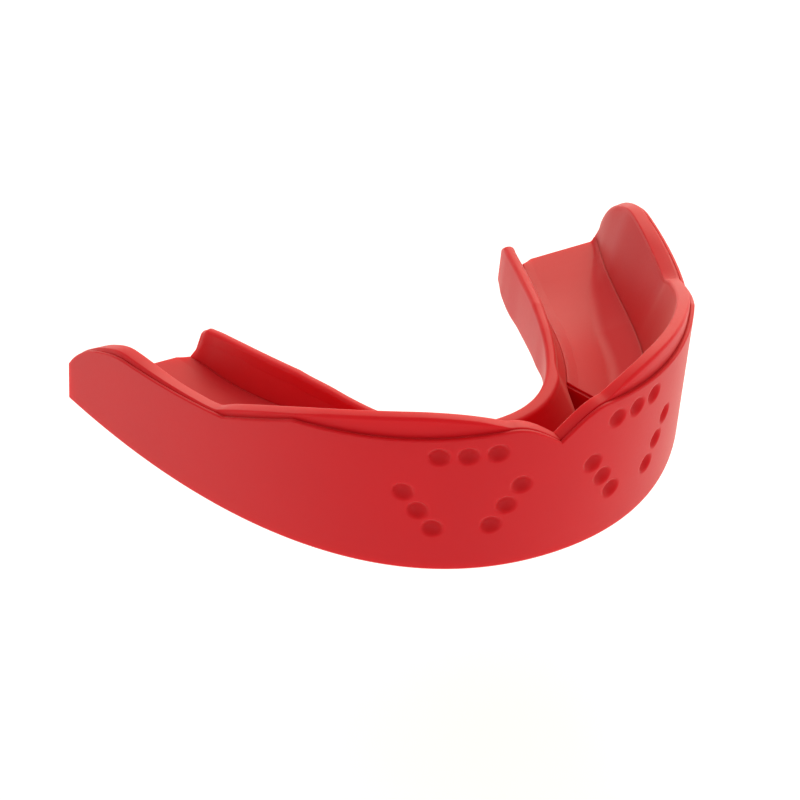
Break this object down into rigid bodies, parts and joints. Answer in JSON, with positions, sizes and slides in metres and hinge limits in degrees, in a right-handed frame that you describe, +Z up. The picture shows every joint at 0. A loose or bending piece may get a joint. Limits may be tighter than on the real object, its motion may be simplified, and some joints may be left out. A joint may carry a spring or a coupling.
{
  "type": "mouthguard",
  "caption": "U-shaped sports mouthguard tray for the upper teeth: pitted outer shell, inner tray with a high front rim, and raised molar biting pads.",
  "frame": {"origin": "centre of the bounding box in X and Y, on the flat biting side in Z", "axes": "+X to the right across the arch, -Y to the front of the mouth, +Z up towards the gums"},
  "size_m": [0.0658, 0.0472, 0.0194],
  "materials": {
    "shell": "satin moulded thermoplastic",
    "tray": "satin moulded thermoplastic",
    "pad": "satin moulded thermoplastic"
  },
  "bodies": {
    "root": {"outer_shell": "shell", "inner_tray": "tray", "molar_pad_left": "pad", "molar_pad_right": "pad"}
  },
  "joints": []
}
